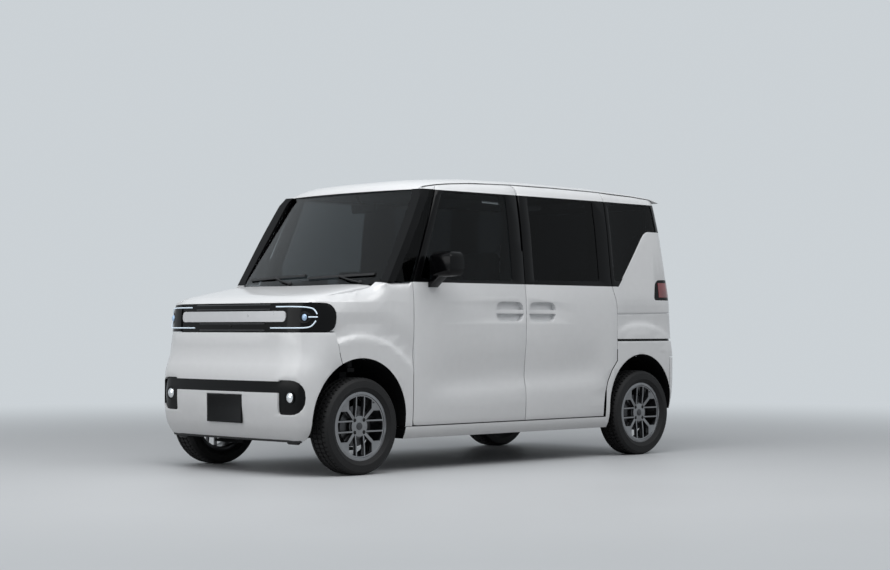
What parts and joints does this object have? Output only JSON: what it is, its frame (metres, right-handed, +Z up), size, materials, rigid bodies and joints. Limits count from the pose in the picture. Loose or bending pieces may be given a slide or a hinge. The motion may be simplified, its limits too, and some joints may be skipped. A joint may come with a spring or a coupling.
{
  "type": "small electric car",
  "caption": "Upright small electric car with a short nose, front doors that swing, sliding rear doors, a lifting bonnet and tailgate, and steered front wheels.",
  "frame": {"origin": "on the ground under the middle of the car", "axes": "+Z up, the front faces -Y, +X is the car's left side"},
  "size_m": [1.8726, 3.395, 1.8],
  "materials": {
    "paint": "gloss pearl white",
    "gloss_black": "gloss",
    "glass": "dark tint",
    "lamp": "clear lens over dark housing",
    "tail_lamp": "gloss red lens",
    "bar": "satin white",
    "trim": "matt",
    "fabric": "woven",
    "steel": "black coated",
    "casing": "cast",
    "tyre": "matt rubber",
    "alloy": "dark lacquer with machined edges"
  },
  "bodies": {
    "body": {"floor_pan": "steel", "battery_pack": "casing", "drive_unit": "casing", "side_frame_left": "paint", "side_frame_right": "paint", "windscreen_frame": "gloss_black", "roof": "paint", "front_wings": "paint", "front_bumper": "paint", "grilles": "gloss_black", "nose_bar": "bar", "front_lamps": "lamp", "front_plate": "gloss_black", "windscreen": "glass", "wipers": "trim", "sliding_door_left": "paint", "sliding_door_right": "paint", "side_glass": "glass", "rear_bumper": "paint", "tail_lamps": "tail_lamp", "dashboard": "trim", "front_seats": "fabric", "rear_seat": "fabric", "front_suspension": "steel", "rear_axle": "steel", "arch_liners": "trim"},
    "bonnet": {"bonnet": "paint"},
    "tailgate": {"tailgate": "paint", "tailgate_glass": "glass"},
    "door_left": {"front_door_left": "paint", "door_glass_left": "glass", "mirror_left": "gloss_black"},
    "door_right": {"front_door_right": "paint", "door_glass_right": "glass", "mirror_right": "gloss_black"},
    "knuckle_left": {"knuckle_left": "steel"},
    "knuckle_right": {"knuckle_right": "steel"},
    "steering_wheel": {"steering_wheel": "trim"},
    "wheel_front_left": {"tyre_front_left": "tyre", "rim_front_left": "alloy"},
    "wheel_front_right": {"tyre_front_right": "tyre", "rim_front_right": "alloy"},
    "wheel_rear_left": {"tyre_rear_left": "tyre", "rim_rear_left": "alloy"},
    "wheel_rear_right": {"tyre_rear_right": "tyre", "rim_rear_right": "alloy"}
  },
  "joints": [
    {"name": "steer_left", "type": "hinge", "parent": "body", "child": "knuckle_left", "pos_m": [0.6, -1.2555, 0.2815], "axis": [0, 0, 1], "range_deg": [-33, 33]},
    {"name": "steer_right", "type": "hinge", "parent": "body", "child": "knuckle_right", "pos_m": [-0.6, -1.2555, 0.2815], "axis": [0, 0, 1], "range_deg": [-33, 33]},
    {"name": "steering_wheel_turn", "type": "hinge", "parent": "body", "child": "steering_wheel", "pos_m": [-0.32, -0.52, 0.955], "axis": [0, 0.8829, 0.4695], "range_deg": [-460, 460]},
    {"name": "door_left_hinge", "type": "hinge", "parent": "body", "child": "door_left", "pos_m": [0.732, -0.8445, 0.7], "axis": [0, 0, -1], "range_deg": [0, 70]},
    {"name": "door_right_hinge", "type": "hinge", "parent": "body", "child": "door_right", "pos_m": [-0.732, -0.8445, 0.7], "axis": [0, 0, 1], "range_deg": [0, 70]},
    {"name": "bonnet_hinge", "type": "hinge", "parent": "body", "child": "bonnet", "pos_m": [0, -1.11, 1.09], "axis": [-1, 0, 0], "range_deg": [0, 50]},
    {"name": "tailgate_hinge", "type": "hinge", "parent": "body", "child": "tailgate", "pos_m": [0, 1.575, 1.706], "axis": [1, 0, 0], "range_deg": [0, 80]},
    {"name": "wheel_front_left_spin", "type": "hinge", "parent": "knuckle_left", "child": "wheel_front_left", "pos_m": [0.65, -1.2555, 0.2815], "axis": [1, 0, 0], "continuous": true},
    {"name": "wheel_front_right_spin", "type": "hinge", "parent": "knuckle_right", "child": "wheel_front_right", "pos_m": [-0.65, -1.2555, 0.2815], "axis": [1, 0, 0], "continuous": true},
    {"name": "wheel_rear_left_spin", "type": "hinge", "parent": "body", "child": "wheel_rear_left", "pos_m": [0.65, 1.2615, 0.2815], "axis": [1, 0, 0], "continuous": true},
    {"name": "wheel_rear_right_spin", "type": "hinge", "parent": "body", "child": "wheel_rear_right", "pos_m": [-0.65, 1.2615, 0.2815], "axis": [1, 0, 0], "continuous": true}
  ],
  "couplings": [
    {"joint": "steer_right", "follows": "steer_left", "ratio": 1},
    {"joint": "steering_wheel_turn", "follows": "steer_left", "ratio": 13.5}
  ]
}
